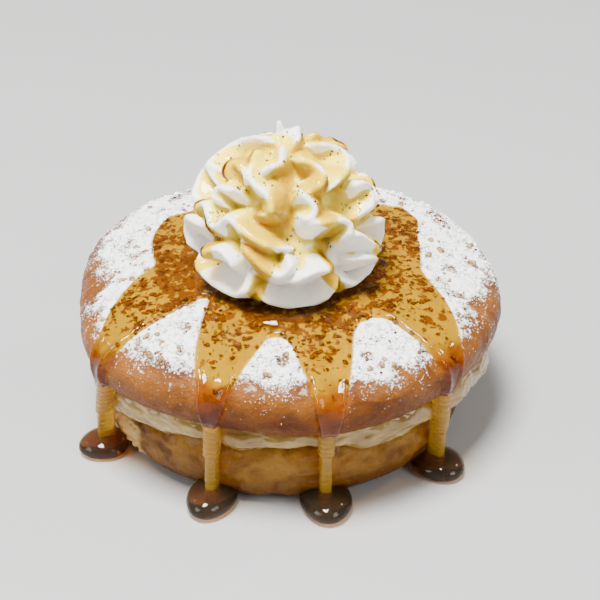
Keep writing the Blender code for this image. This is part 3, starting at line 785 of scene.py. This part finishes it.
def lofted(lofts):
    """A bmesh of closed lofts."""
    mesh = bmesh.new()
    for rings in lofts:
        add_loft(mesh, rings)
    bmesh.ops.recalc_face_normals(mesh, faces=mesh.faces)
    return mesh


def strand_place(name, height):
    """Azimuth and outer radius of a stream's thread at one height."""
    top_azimuth, top, foot_azimuth, foot = THREADS[name][0]
    share = smooth_step(0.002, BUN_WIDEST, height)
    return math.radians(foot_azimuth + (top_azimuth - foot_azimuth) * share), foot + (top - foot) * share


def squarer(value, power):
    """A sine or cosine, changed so that the outline drawn with it is squarer."""
    return math.copysign(abs(value) ** power, value)


def thread_ring(name, height):
    """The outline of a thread at a height: an upper part fat with coils, and a slimmer lower part."""
    low_coil, high_coil = THREADS[name][1]
    azimuth, front = strand_place(name, height)
    outward, sideways = turn(azimuth), turn(azimuth + math.pi / 2.0)
    coiling = band((low_coil - 0.0002, low_coil + 0.0012), (high_coil, high_coil + 0.003), height)
    turns = height / 0.00165 + 0.4 * noise.noise(Vector((height * 300.0, len(name), 0.0)))
    ridge = (0.3 + 0.7 * coiling) * 0.00024 * abs(math.sin(math.pi * turns)) ** 0.6
    half_width = 0.00132 + 0.00028 * coiling + 0.0010 * smooth_step(0.0245, 0.0300, height)
    inner = 0.0436 if height > 0.0225 else 0.0425 if height > 0.0150 else 0.0405
    half_depth = min(0.0021, (front + ridge - inner) / 2.0)
    middle = outward * (front + ridge - half_depth - 0.0001 + 0.0001 * coiling)
    ring = []
    for corner in range(28):
        angle = math.tau * corner / 28
        spot = middle + outward * (half_depth * squarer(math.cos(angle), 0.7))
        spot += sideways * ((half_width + ridge) * squarer(math.sin(angle), 0.85))
        ring.append(spot + Vector((0, 0, height)))
    return ring


def thread_rings(name, top, steps):
    """Outlines up a thread from its foot."""
    return [thread_ring(name, 0.0006 + (top - 0.0006) * step / steps) for step in range(steps + 1)]


def puddle_rings(name):
    """The bead at a thread's foot, widest a third of the way up."""
    half_width, half_length, rise = THREADS[name][2]
    azimuth, front = strand_place(name, 0.0)
    outward, sideways = turn(azimuth), turn(azimuth + math.pi / 2.0)
    widest = 0.36
    rings = []
    for step in range(15):
        angle = math.radians(-40.0 + 126.0 * step / 14)
        height = rise * (widest + (1.0 - widest) * math.sin(angle))
        if angle < 0.0:
            height = rise * widest * (1.0 - math.sin(angle) / math.sin(math.radians(-40.0)))
        middle = outward * (front - 0.0014) + Vector((0, 0, max(height, 0.0001)))
        ring = []
        for corner in range(48):
            around = math.tau * corner / 48
            reach = (1.0 + 0.03 * math.sin(3.0 * around + len(name))) * math.cos(angle)
            spot = outward * (half_length * reach * math.cos(around))
            ring.append(middle + spot + sideways * (half_width * reach * math.sin(around)))
        rings.append(ring)
    return rings


def remeshed(mesh, voxel, smoothing):
    """One even skin over everything in a bmesh, smoothed as surface tension would."""
    rough = stand("rough", data_of("rough", mesh))
    remesh = rough.modifiers.new("even skin", "REMESH")
    remesh.mode = "VOXEL"
    remesh.voxel_size = voxel
    relax = rough.modifiers.new("surface tension", "SMOOTH")
    relax.factor = 0.5
    relax.iterations = smoothing
    bpy.context.view_layer.update()
    skinned = bpy.data.meshes.new_from_object(rough.evaluated_get(bpy.context.evaluated_depsgraph_get()))
    bpy.data.objects.remove(rough)
    mesh = bmesh.new()
    mesh.from_mesh(skinned)
    bpy.data.meshes.remove(skinned)
    return mesh


def shell(mesh, rises, sunk):
    """Closes a skin into a shell: a copy is raised by each place's own rise, and the skin itself is sunk."""
    skin = [(vert, vert.normal.copy(), rise) for vert, rise in rises.items()]
    made = bmesh.ops.extrude_face_region(mesh, geom=mesh.faces[:], use_keep_orig=True)["geom"]
    raised = {tuple(item.co): item for item in made if isinstance(item, bmesh.types.BMVert)}
    for vert, normal, rise in skin:
        raised[tuple(vert.co)].co += normal * rise
        vert.co -= normal * sunk


def cut_away(mesh, verts):
    """Deletes corners, and then the others that are left without a face."""
    bmesh.ops.delete(mesh, geom=verts, context="VERTS")
    bmesh.ops.delete(mesh, geom=[vert for vert in mesh.verts if not vert.link_faces], context="VERTS")


def cut_level(mesh, height):
    """Cuts off what lies below a height, and closes the cut."""
    everything = mesh.verts[:] + mesh.edges[:] + mesh.faces[:]
    bmesh.ops.bisect_plane(
        mesh, geom=everything, dist=1e-6, plane_co=(0, 0, height), plane_no=(0, 0, -1), clear_outer=True
    )
    bmesh.ops.holes_fill(mesh, edges=[edge for edge in mesh.edges if edge.is_boundary])


stations = [12.5 + 0.5 * step for step in range(94)]
mesh, spots = laid_skin(stations, 620, lambda azimuth, station: crust_point(azimuth, station / 1000.0))
depths = {vert: inside_syrup(*spot) for vert, spot in spots.items()}
cut_away(mesh, [vert for vert, depth in depths.items() if depth < -0.9])
rises = {}
for vert in mesh.verts:
    sag = 0.25 * smooth_step(46.0, 56.0, spots[vert][1])
    from_foot = math.dist(vert.co.xy, CREAM_MIDDLE) * 1000.0 - 20.9
    bead = 0.7 * math.exp(-((from_foot / 1.6) ** 2)) * smooth_step(1.5, 4.0, depths[vert])
    bead *= 0.7 + 0.9 * noise.noise(vert.co * 320.0)
    rises[vert] = (syrup_rise(depths[vert]) + sag + bead) / 1000.0
shell(mesh, rises, 0.0011)
for name in THREADS:
    add_loft(mesh, thread_rings(name, 0.0302, 60))
bmesh.ops.recalc_face_normals(mesh, faces=mesh.faces)
mesh = remeshed(mesh, 0.00040, 5)
cut_level(mesh, THREAD_TOP)


def syrup_finish(name, density, through, held=(0.97, 0.83, 0.0), clear=1.0, body=(1.0, 0.90, 0.10)):
    """Amber syrup: light is taken up on its way through, and lamps shine through it to what lies under."""
    made, shader, place = finish_of(name)
    fill(shader, {
        "Base Color": body,
        "Transmission Weight": clear,
        "IOR": 1.32,
        "Roughness": spread(noise_of(place, 160.0, 2.0), 0.3, 0.7, 0.015, 0.05),
        "Normal": relief_of(noise_of(place, 140.0, 1.0), 0.12),
    })
    lamps = node(place, "ShaderNodeBsdfTransparent", {"Color": through})
    shadow = node(place, "ShaderNodeLightPath", {}).outputs["Is Shadow Ray"]
    both = node(place, "ShaderNodeMixShader", {0: shadow, 1: shader.outputs[0], 2: lamps.outputs[0]})
    absorb = node(place, "ShaderNodeVolumeAbsorption", {"Color": held, "Density": density})
    fill(made.node_tree.nodes["Material Output"], {"Surface": both.outputs[0], "Volume": absorb.outputs[0]})
    return made


maple = syrup_finish("maple_syrup", 340.0, (0.98, 0.90, 0.60))
piece_from("poured_syrup", mesh, maple)

mesh = lofted(thread_rings(name, THREAD_TOP - 0.00005, 180) for name in THREADS)
cloudy = syrup_finish(
    "cloudy_syrup", 260.0, (0.80, 0.55, 0.20), (0.94, 0.80, 0.25), 0.66, (0.62, 0.38, 0.035)
)
piece_from("syrup_threads", mesh, cloudy)

mesh = lofted(puddle_rings(name) for name in THREADS)
settled = syrup_finish(
    "settled_syrup", 780.0, (0.40, 0.29, 0.18), (0.76, 0.58, 0.34), 0.98, (0.72, 0.59, 0.34)
)
piece_from("syrup_puddles", mesh, settled)


# The whipped cream
# Stiff cream is piped through a fluted nozzle in rising tiers, each cupped and curling over at its lip, and
# drawn off at the top in a slim point.

# The mound that the lips reach: millimetres above the cream's foot, and radius
MOUND = (
    (-3, 15.0), (0, 16.5), (4, 20.0), (8, 21.6), (12, 21.3), (18, 19.8),
    (22, 18.2), (26, 15.8), (29, 12.5), (31, 9.0), (33, 4.5), (36, 0.4),
)
# The point drawn off at the top: height and radius
SPIKE = ((27.0, 3.4), (29.5, 2.4), (31.4, 1.7), (33.0, 1.2), (34.3, 0.95), (35.4, 0.75), (36.6, 0.45))
# Edges of the lips, from the top down: degrees round to the right from the front, and height
SIDE_LIPS = (
    ((-78, 23.8), (-90, 25.4), (-104, 27.6), (-110, 30.2), (-96, 32.0), (-60, 33.2), (-24, 33.2)),
    ((14, 32.4), (44, 33.4), (84, 34.4), (112, 34.0), (128, 32.4)),
    ((48, 32.6), (70, 31.9), (88, 30.4), (88, 28.4), (66, 27.4), (46, 26.0)),
    ((-76, 17.0), (-88, 19.6), (-98, 23.0), (-94, 25.4), (-80, 26.4)),
    ((64, 25.0), (76, 23.4), (84, 21.2), (76, 19.2), (62, 18.4)),
    ((86, 19.0), (90, 17.0), (98, 17.6), (108, 20.0)),
    ((-74, 14.2), (-84, 14.0), (-94, 11.0), (-94, 7.0), (-82, 4.0)),
    ((72, 15.0), (84, 13.4), (94, 10.0), (92, 6.0), (80, 3.4)),
    ((-84, 2.0), (-98, 1.0), (-112, 2.0), (-104, 5.0)),
)
# These lips stand at the front and again, turned half round, at the back
FRONT_LIPS = (
    ((-6, 33.6), (-2, 32.2), (-4, 30.8), (-17, 30.2), (-28, 28.8)),
    ((-52, 32.4), (-40, 30.9), (-35, 29.0), (-38, 27.4)),
    ((6, 31.4), (26, 31.0), (38, 30.0), (40, 28.8), (32, 27.4), (20, 26.4)),
    (
        (-44, 26.0), (-57, 27.6), (-58, 29.4), (-38, 29.0), (-26, 27.8), (-11, 26.2), (-9, 23.4), (-20, 22.6),
    ),
    ((-48, 22.2), (-57, 23.4), (-55, 25.2), (-43, 25.8), (-40, 27.2)),
    ((14, 28.6), (15, 26.6), (21, 24.8), (22, 23.2), (16, 22.2), (11, 23.4)),
    ((10, 22.3), (20, 21.2), (38, 20.4), (45, 19.0), (44, 17.0), (38, 15.6)),
    ((-72, 15.4), (-70, 18.6), (-62, 20.8), (-48, 18.0), (-38, 20.8), (-24, 19.0), (-8, 17.0), (8, 16.2)),
    ((-30, 17.6), (-20, 14.8), (-9, 11.8), (-2, 10.6), (4, 12.6), (2, 15.2)),
    ((44, 17.6), (54, 14.7), (65, 10.5), (70, 7.5)),
    ((47, 10.4), (58, 9.2), (68, 6.4), (64, 3.6), (54, 2.4), (46, 4.2)),
    ((-56, 9.4), (-48, 12.6), (-40, 13.8), (-32, 12.4), (-26, 9.4)),
    ((-2, 8.4), (14, 10.6), (22, 11.2), (32, 10.4)),
    ((-70, 7.6), (-60, 4.6), (-38, 2.0), (-26, 4.4), (-20, 7.6)),
    ((-18, 6.0), (-9, 2.6), (4, 0.4), (18, 0.0), (29, 1.6), (38, 5.0)),
)
# Millimetres that a lip's edge stands out and its root lies in, and its thickness at both
LIP_REACH = 0.4
LIP_DEPTH = 6.0
LIP_EDGE = 1.3
LIP_ROOT = 7.4
CREAM_BASE = CROWN_HEIGHT + 0.0004 + GAP


def smooth_path(points, steps):
    """A smooth path through points, each a pair of numbers."""
    first, last = Vector(points[0]), Vector(points[-1])
    ends = [2.0 * first - Vector(points[1])] + [Vector(point) for point in points]
    ends.append(2.0 * last - Vector(points[-2]))
    path = []
    for before, start, end, after in zip(ends, ends[1:], ends[2:], ends[3:]):
        for step in range(steps):
            share = step / steps
            bend = 2.0 * before - 5.0 * start + 4.0 * end - after
            twist = 3.0 * (start - end) + after - before
            path.append(start + 0.5 * share * (end - before + share * (bend + share * twist)))
    return path + [last]


def lip_rings(edge, turned=0.0):
    """Rings along one lip: a wedge, thin at its edge and thick where it grows out of the mound."""
    corners = 14
    spots = []
    for azimuth, height in smooth_path(edge, 7):
        outward = turn(math.radians(270.0 + azimuth + turned))
        spots.append(outward * (from_table(MOUND, height)[0] + LIP_REACH) + Vector((0, 0, height)))
    last = len(spots) - 1
    rings = []
    for number, spot in enumerate(spots):
        along = (spots[min(number + 1, last)] - spots[max(number - 1, 0)]).normalized()
        across = Vector((spot.x, spot.y, 0.0))
        inward = -across.normalized() * min(LIP_DEPTH, 0.8 * across.length)
        inward.z = -3.2 * smooth_step(-2.0, 20.0, spot.z)
        inward -= along * inward.dot(along)
        side = along.cross(inward).normalized()
        taper = min(1.0, 0.25 + min(number, last - number) / (0.22 * last))
        spot = spot + inward * (0.6 * (1.0 - taper))
        ring = []
        for corner in range(corners):
            angle = math.tau * corner / corners
            middle, thickness = (spot, LIP_EDGE) if math.cos(angle) > 0.0 else (spot + inward, LIP_ROOT)
            around = side * math.sin(angle) - inward.normalized() * math.cos(angle)
            ring.append(middle + around * (thickness / 2.0 * taper))
        rings.append(ring)
    return rings


def core_ring(height):
    """A ring round the solid middle that the lips grow out of."""
    ring = []
    for corner in range(72):
        outward = turn(math.tau * corner / 72)
        unevenness = noise.noise(outward * 2.6 + Vector((0, 0, height * 0.16)))
        radius = max(0.5, from_table(MOUND, height)[0] - 6.0 + 2.0 * unevenness)
        ring.append(outward * radius + Vector((0, 0, height)))
    return ring


def spike_ring(height, radius):
    """A ring round the point at the top, which leans a little to the left."""
    middle = Vector((-0.13 * max(0.0, height - 29.0), 0, height))
    return [middle + turn(math.tau * corner / 24) * radius for corner in range(24)]


lofts = [[core_ring(-2.0 + 34.0 * step / 36) for step in range(37)]]
lofts.append([spike_ring(height, radius) for height, radius in SPIKE])
lofts += [lip_rings(edge) for edge in SIDE_LIPS + FRONT_LIPS]
lofts += [lip_rings(edge, 174.0) for edge in FRONT_LIPS]
mesh = lofted(lofts)
for vert in mesh.verts:
    back = max(0.0, vert.co.y + 1.0)
    vert.co.z -= 0.27 * back * back / (back + 2.0) * min(1.0, max(0.0, vert.co.z / 30.0))
    vert.co = vert.co / 1000.0 + Vector((*CREAM_MIDDLE, CREAM_BASE))
mesh = remeshed(mesh, 0.0004, 2)
cut_level(mesh, CREAM_BASE)

mesh.normal_update()
for vert in mesh.verts:
    spot = vert.co * 1000.0
    relief = 0.00015 * wobble(spot, 2.3) + 0.00007 * wobble(spot, 0.9)
    vert.co += vert.normal * relief * smooth_step(0.0002, 0.0012, vert.co.z - CREAM_BASE)


def relaxed(places, links, rounds):
    """Places on a mesh after each has been drawn half way to its neighbours' mean, a number of times."""
    first, second = links.T
    count = np.bincount(links.ravel(), minlength=len(places))
    for _ in range(rounds):
        sums = np.zeros_like(places)
        for axis, along in enumerate(places.T):
            sums[:, axis] = np.bincount(first, along[second], len(places))
            sums[:, axis] += np.bincount(second, along[first], len(places))
        places = (places + sums / count[:, None]) / 2.0
    return places


mesh.verts.index_update()
mesh.normal_update()
places = np.array([vert.co[:] for vert in mesh.verts])
normals = np.array([vert.normal[:] for vert in mesh.verts])
links = np.array([[vert.index for vert in edge.verts] for edge in mesh.edges])
hollow = ((relaxed(places, links, 90) - places) * normals).sum(axis=1) * 1000.0
over_cream = mesh.copy()
# Painted shade: how deep each place lies in the creases and cups is kept, to darken the cream's colour there
crease_shade_layer = mesh.verts.layers.float.new("fold")
for vert, depth in zip(mesh.verts, hollow):
    vert[crease_shade_layer] = min(1.0, max(0.0, (depth + 0.2) / 2.2))

cream_finish, shader, place = finish_of("whipped_cream")
white = blend_of(noise_of(place, 180.0), (0.89, 0.875, 0.78), (0.94, 0.93, 0.85))
fill(shader, {
    # Painted shade: the cream's white turns grey in its creases and cups, by that depth
    "Base Color": blend_of(mark_of(place, "fold"), white, (0.62, 0.63, 0.62)),
    "Roughness": spread(noise_of(place, 900.0), 0.3, 0.7, 0.34, 0.55),
    "Normal": relief_of(noise_of(place, 1100.0), 0.18, 0.0003),
    "Subsurface Weight": 0.12,
    "Subsurface Radius": (1.0, 0.8, 0.6),
    "Subsurface Scale": 0.0012,
})

piped_cream = piece_from("piped_cream", mesh, cream_finish)
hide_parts("whipped_cream")


# The syrup on the cream
# More syrup is spooned over the cream. It fills the cups behind the lips and runs down between them in
# streams that end in fat drops, and more of it lies at the top than at the foot.

# Each stream from the top down: degrees to the right of the front, millimetres above the foot, half width
SIDE_STREAMS = (
    ((-60, 29.5, 1.5), (-54, 31.0, 1.7), (-48, 32.2, 1.2)),
    ((22, 32.5, 1.2), (60, 32.8, 1.7), (97, 32.6, 1.2)),
    ((25, 32.0, 1.4), (46, 31.3, 1.9), (58, 30.2, 1.5)),
)
FRONT_STREAMS = (
    (
        (-43, 31.3, 1.5), (-52, 29.7, 1.9), (-62, 27.5, 2.1),
        (-70, 24.3, 1.9), (-71, 21.2, 1.6), (-68, 17.0, 1.4),
    ),
    ((-58, 18.6, 1.3), (-50, 15.4, 2.1), (-53, 10.6, 1.7), (-66, 5.0, 1.6)),
    ((-22, 17.2, 2.2), (-13, 14.0, 2.9), (-14, 9.5, 2.2), (-16, 6.2, 1.8), (-20, 1.3, 1.5)),
    ((36, 18.4, 1.8), (33, 14.5, 2.5), (32, 9.7, 2.0), (36, 5.9, 1.8), (45, 0.7, 1.5)),
    ((62, 27.2, 1.5), (61, 21.9, 1.4), (60, 17.5, 1.6), (65, 13.0, 1.6), (73, 4.6, 1.7)),
    ((-28, 21.5, 1.5), (-17, 20.4, 2.3), (-6, 19.1, 2.5), (4, 17.5, 1.8)),
    ((2, 30.6, 1.6), (2, 28.7, 3.2), (-2, 23.9, 2.9), (-3, 21.5, 3.1), (-2, 18.8, 2.4)),
    ((26, 30.6, 1.6), (35, 25.7, 2.9), (30, 21.7, 2.2)),
)


def on_mound(azimuths, heights):
    """Places on the mound, in millimetres from the middle of its foot."""
    radii = np.interp(heights, *zip(*MOUND))
    around = np.radians(270.0 + azimuths)
    return np.stack((radii * np.cos(around), radii * np.sin(around), heights), axis=1)


def stream_rise(spots, stream, turned=0.0):
    """How high one stream stands at places on the mound, rounded across, and below 0 outside it."""
    path = np.array([tuple(point) for point in smooth_path(stream, 5)])
    ends = on_mound(path[:, 0] + turned, path[:, 1])
    rise = np.full(len(spots), -9.0)
    for start, end, near, far in zip(ends, ends[1:], path[:, 2], path[1:, 2]):
        along = end - start
        share = np.clip((spots - start) @ along / max(along @ along, 1e-6), 0.0, 1.0)
        apart = np.linalg.norm(spots - start - share[:, None] * along, axis=1)
        half = near + (far - near) * share
        inside = np.sqrt(np.clip(1.0 - (apart / half) ** 2, 0.0, 1.0)) * np.minimum(0.48 * half, 1.1)
        rise = np.maximum(rise, np.where(apart < half, inside, half - apart))
    return rise


mesh = over_cream
mesh.verts.ensure_lookup_table()
spots = (places - np.array([*CREAM_MIDDLE, CREAM_BASE])) * 1000.0
back = np.maximum(0.0, spots[:, 1] + 1.0)
heights = spots[:, 2] + 0.27 * back * back / (back + 2.0) * np.clip(spots[:, 2] / 27.0, 0.0, 1.0)
azimuths = np.degrees(np.arctan2(spots[:, 1], spots[:, 0])) - 270.0
laid = on_mound(azimuths, heights)
high = np.clip((heights - 9.0) / 8.0, 0.0, 1.0) - 2.0 * np.clip((heights - 33.5) / 1.5, 0.0, 1.0)
drift = np.array([noise.noise(Vector(spot) / 5.5) for spot in spots])
rise = 1.35 * hollow - 1.00 + 1.20 * high + 0.55 * np.clip(normals[:, 2], -0.6, 0.6) + 0.35 * drift
rise = np.minimum(rise, 0.22) + 1.7 * np.clip(hollow - 0.60, 0.0, 1.5)
rise -= 1.6 * np.clip((9.0 - heights) / 3.0, 0.0, 1.0)
for stream in SIDE_STREAMS + FRONT_STREAMS:
    rise = np.maximum(rise, stream_rise(laid, stream))
for stream in FRONT_STREAMS:
    rise = np.maximum(rise, stream_rise(laid, stream, 174.0))
rise = relaxed(np.stack((rise, rise, rise), axis=1), links, 2)[:, 0]
rise[spots[:, 2] < 0.3] = -1.0
cream_spots = list(zip(places, normals, rise, heights))
rises = {vert: rise[vert.index] / 1000.0 for vert in mesh.verts}
cut_away(mesh, [vert for vert in mesh.verts if rises[vert] < -0.00045])
shell(mesh, {vert: height for vert, height in rises.items() if vert.is_valid}, 0.0006)
bmesh.ops.recalc_face_normals(mesh, faces=mesh.faces)
mesh = remeshed(mesh, 0.0004, 3)
spooned = syrup_finish(
    "spooned_syrup", 1900.0, (0.94, 0.84, 0.50), (0.875, 0.804, 0.06), 1.0, (0.88, 0.765, 0.18)
)
piece_from("cream_syrup", mesh, spooned)


# The cinnamon
# Ground cinnamon is shaken over everything. Flakes of it float in the pool and thin out down the streams, and
# a few have caught on the cream's lips.

dice = random.Random(17)
spots = []
while len(spots) < 2700:
    azimuth, station = dice.uniform(0.0, math.tau), 14.0 + 40.0 * math.sqrt(dice.random())
    depth = inside_syrup(azimuth, station)
    place, normal = crust_frame(azimuth, station / 1000.0)
    patchy = 0.5 + 0.9 * wobble(place * 1000.0, 4.0) + 0.6 * wobble(place * 1000.0, 1.7)
    wanted = patchy * (1.0 - 0.93 * smooth_step(30.0, 50.0, station))
    if depth < 0.3:
        wanted = 0.34 * patchy if depth < -0.5 and station < 47.0 else 0.0
    if dice.random() > wanted:
        continue
    size = 0.0004 + 0.0011 * dice.random() ** 2.0
    if depth < 0.0:
        size = 0.00018 + 0.00070 * dice.random() ** 6.0
    lift = 0.0001 + 0.0005 * dice.random()
    tilt = normal.to_track_quat("Z", "Y").to_euler()
    angles = (tilt.x + dice.uniform(-0.2, 0.2), tilt.y + dice.uniform(-0.2, 0.2), dice.uniform(0.0, math.tau))
    spots.append((place + normal * lift, angles, size))

fallen = 0
while fallen < 420:
    place, normal, rise, height = cream_spots[dice.randrange(len(cream_spots))]
    if normal[2] < -0.1 or height < 6.0 or abs(rise) > 0.45 or noise.noise(Vector(place) * 190.0) < 0.05:
        continue
    spots.append((Vector(place) + Vector(normal) * 0.0001, any_turn(dice), dice.uniform(0.00025, 0.0007)))
    fallen += 1

ground = crumbly_finish("ground_cinnamon", 600.0, 4.0, (0.045, 0.012, 0.001), (0.12, 0.038, 0.003), 0.8, 0.0)
scattered("cinnamon_flakes", crumbs(9.0, 6, (1.3, 0.9, 0.25)), spots, ground)
